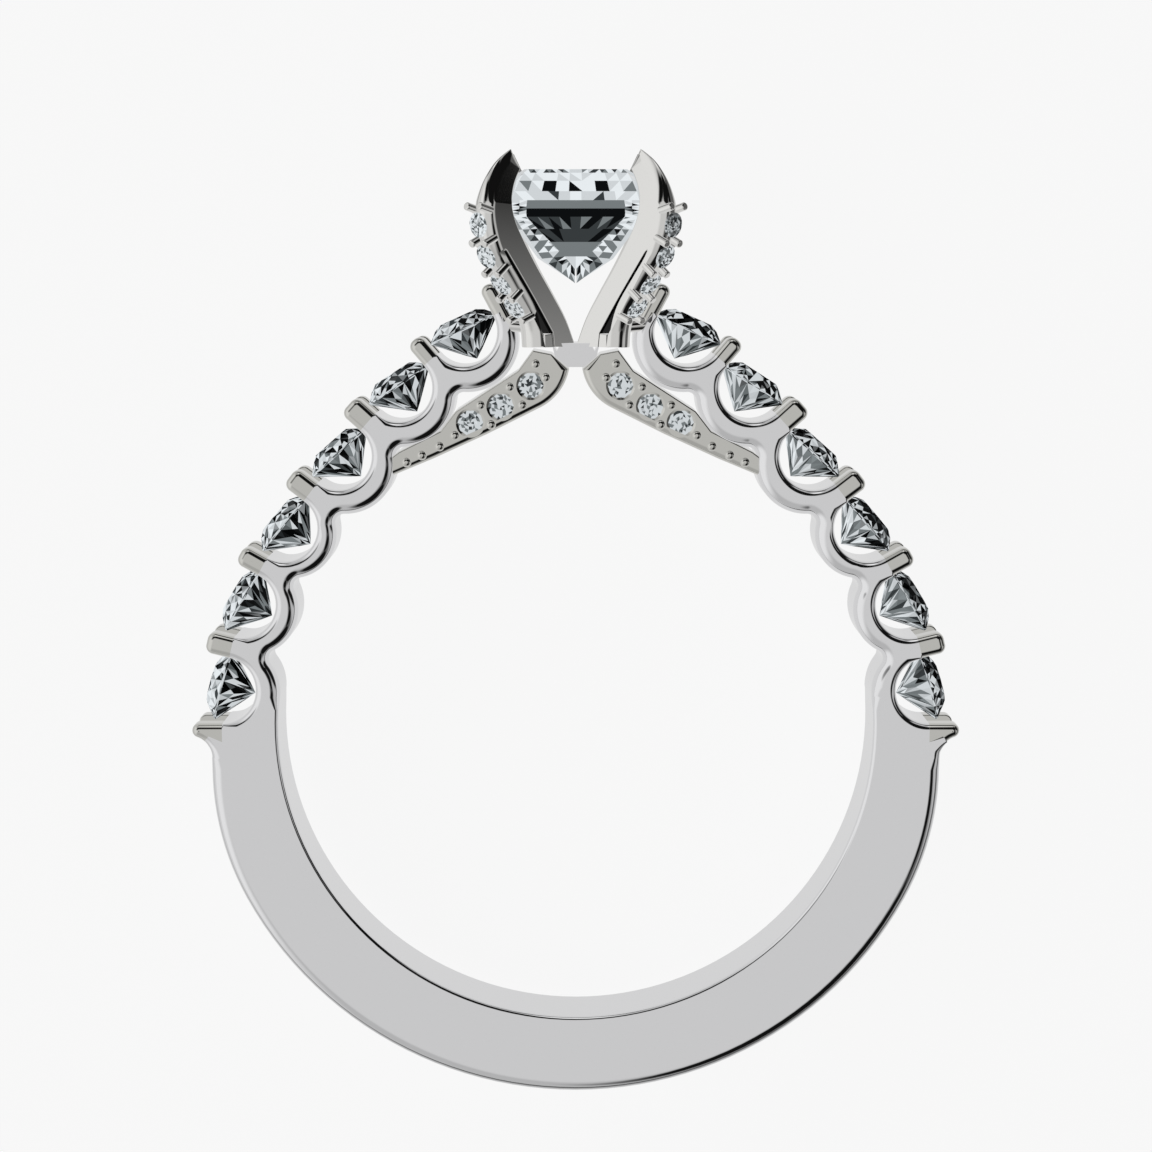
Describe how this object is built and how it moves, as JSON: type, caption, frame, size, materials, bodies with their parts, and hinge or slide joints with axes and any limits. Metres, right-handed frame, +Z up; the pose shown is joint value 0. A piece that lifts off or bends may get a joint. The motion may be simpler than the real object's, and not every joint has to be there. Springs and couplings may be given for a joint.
{
  "type": "cathedral setting ring",
  "caption": "Finger ring with a cathedral setting: a square stone in claws, round stones in shared prongs down the shoulders, a jewelled bridge and a plain shank.",
  "frame": {"origin": "on the surface that the ring lies on, below the middle of its length and width", "axes": "+Z up from the surface, +Y from the plain shank towards the head, +X to the right; the finger hole's axis leans from +Z towards -Y because the head lifts that end of the ring"},
  "size_m": [0.0214, 0.0264, 0.006],
  "materials": {
    "white_gold": "polished",
    "centre_gem": "cut and polished",
    "side_gems": "cut and polished"
  },
  "bodies": {
    "root": {"ring_mount": "white_gold", "centre_stone": "centre_gem", "shoulder_stone_left_1": "side_gems", "shoulder_stone_left_2": "side_gems", "shoulder_stone_left_3": "side_gems", "shoulder_stone_left_4": "side_gems", "shoulder_stone_left_5": "side_gems", "shoulder_stone_left_6": "side_gems", "shoulder_stone_right_1": "side_gems", "shoulder_stone_right_2": "side_gems", "shoulder_stone_right_3": "side_gems", "shoulder_stone_right_4": "side_gems", "shoulder_stone_right_5": "side_gems", "shoulder_stone_right_6": "side_gems", "prong_stone_front_left_1": "side_gems", "prong_stone_front_left_2": "side_gems", "prong_stone_front_left_3": "side_gems", "prong_stone_front_left_4": "side_gems", "bridge_stone_front_left_1": "side_gems", "bridge_stone_front_left_2": "side_gems", "bridge_stone_front_left_3": "side_gems", "prong_stone_front_right_1": "side_gems", "prong_stone_front_right_2": "side_gems", "prong_stone_front_right_3": "side_gems", "prong_stone_front_right_4": "side_gems", "bridge_stone_front_right_1": "side_gems", "bridge_stone_front_right_2": "side_gems", "bridge_stone_front_right_3": "side_gems", "prong_stone_back_left_1": "side_gems", "prong_stone_back_left_2": "side_gems", "prong_stone_back_left_3": "side_gems", "prong_stone_back_left_4": "side_gems", "bridge_stone_back_left_1": "side_gems", "bridge_stone_back_left_2": "side_gems", "bridge_stone_back_left_3": "side_gems", "prong_stone_back_right_1": "side_gems", "prong_stone_back_right_2": "side_gems", "prong_stone_back_right_3": "side_gems", "prong_stone_back_right_4": "side_gems", "bridge_stone_back_right_1": "side_gems", "bridge_stone_back_right_2": "side_gems", "bridge_stone_back_right_3": "side_gems"}
  },
  "joints": []
}
